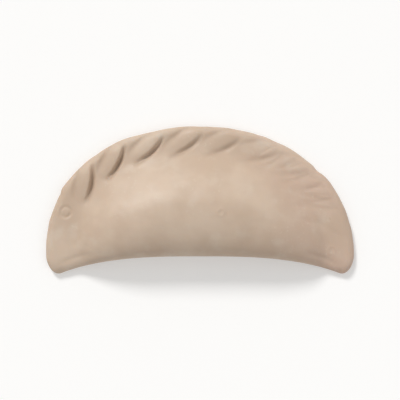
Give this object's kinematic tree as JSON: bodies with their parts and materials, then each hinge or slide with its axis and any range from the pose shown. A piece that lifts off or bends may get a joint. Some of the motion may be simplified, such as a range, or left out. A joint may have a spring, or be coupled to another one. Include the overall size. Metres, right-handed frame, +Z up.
{
  "type": "empanada",
  "caption": "Raw half-moon empanada of pale dough folded over its filling, with a rope-like row of slanted pads moulded along its curved edge.",
  "frame": {"origin": "centre of the bounding box in plan, on the surface that the empanada lies on", "axes": "+Z up, +X along the straight fold, +Y from the fold to the top of the curved, crimped edge"},
  "size_m": [0.16, 0.0764, 0.0232],
  "materials": {
    "raw_dough": "soft satin, slightly floury"
  },
  "bodies": {
    "root": {"empanada": "raw_dough"}
  },
  "joints": []
}
